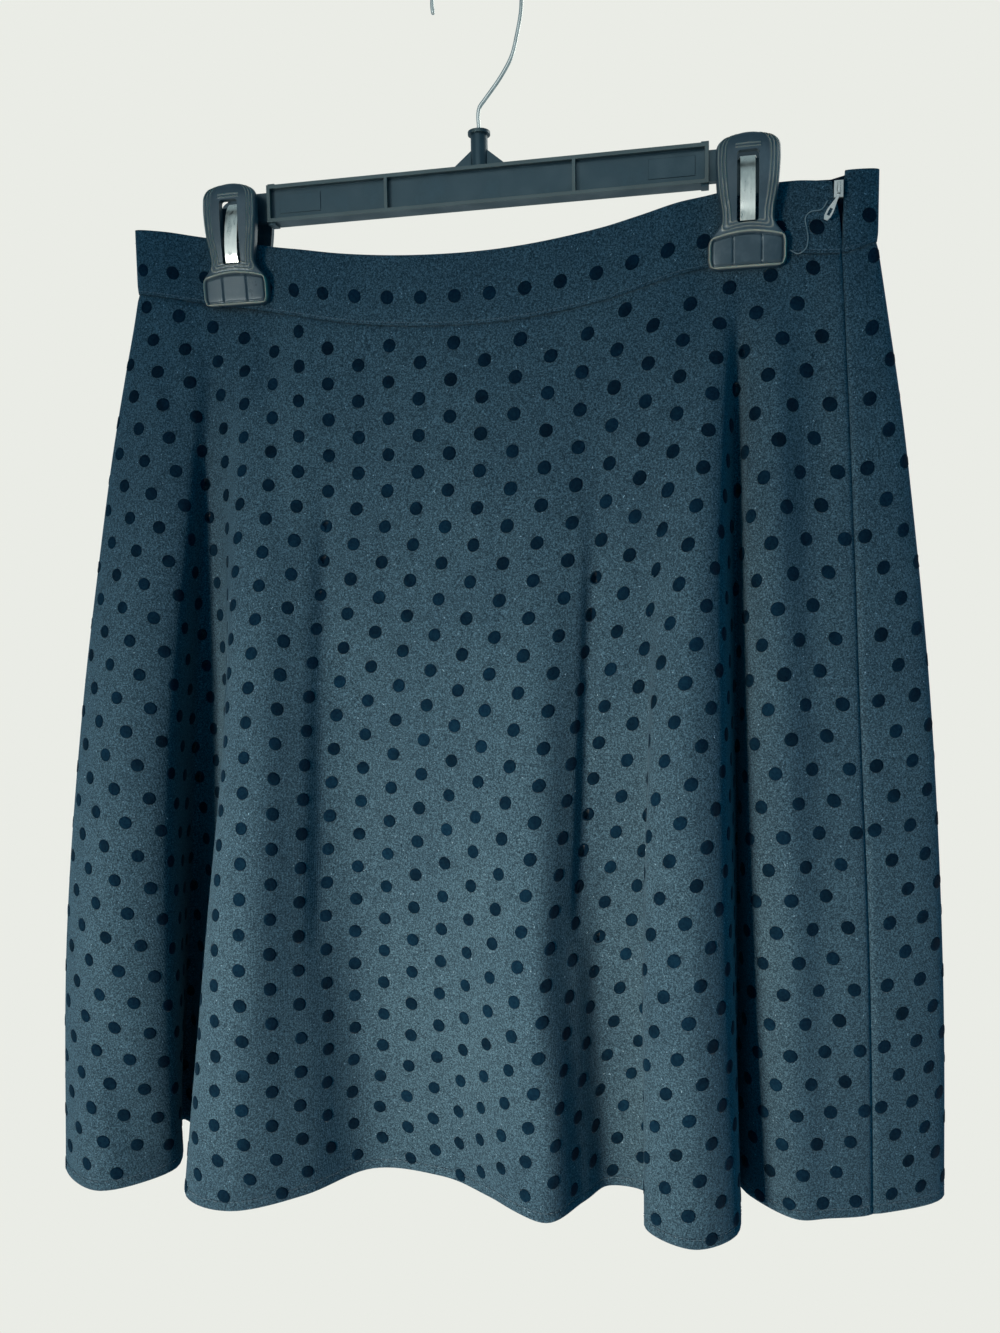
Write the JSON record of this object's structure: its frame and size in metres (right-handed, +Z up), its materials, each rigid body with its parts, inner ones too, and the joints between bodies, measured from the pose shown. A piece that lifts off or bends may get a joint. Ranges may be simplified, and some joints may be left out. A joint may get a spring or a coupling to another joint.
{
  "type": "skater skirt on a two-clip bar hanger",
  "caption": "Black knit skater skirt with flocked dots, shaped waistband and side zip, clipped to a black bar hanger with a wire hook.",
  "frame": {"origin": "inside top of the hook's crook, where the hanger hangs on a rail", "axes": "+Z up, the skirt's front faces -Y, +X towards the side with the zip"},
  "size_m": [0.518, 0.139, 0.6863],
  "materials": {
    "dotted_knit": "matt heathered knit with soft flocked dots",
    "hanger_plastic": "satin moulded plastic",
    "clip_plastic": "satin moulded plastic",
    "hook_wire": "bright plated wire",
    "spring_steel": "bright strip steel",
    "zip_metal": "polished plating"
  },
  "bodies": {
    "skirt_and_hanger": {"skirt_front": "dotted_knit", "skirt_back": "dotted_knit", "waistband_front": "dotted_knit", "waistband_back": "dotted_knit", "zip_slider": "zip_metal", "hanger_bar": "hanger_plastic", "hanger_hook": "hook_wire", "left_clip_front_jaw": "clip_plastic", "left_clip_back_jaw": "clip_plastic", "right_clip_front_jaw": "clip_plastic", "right_clip_back_jaw": "clip_plastic", "left_clip_spring": "spring_steel", "right_clip_spring": "spring_steel"},
    "pull_tab": {"zip_pull_tab": "zip_metal"}
  },
  "joints": [
    {"name": "pull_tab_hinge", "type": "hinge", "parent": "skirt_and_hanger", "child": "pull_tab", "pos_m": [0.1852, -0.0123, -0.1446], "axis": [-0.8829, 0, 0.4695], "range_deg": [0, 90]}
  ]
}
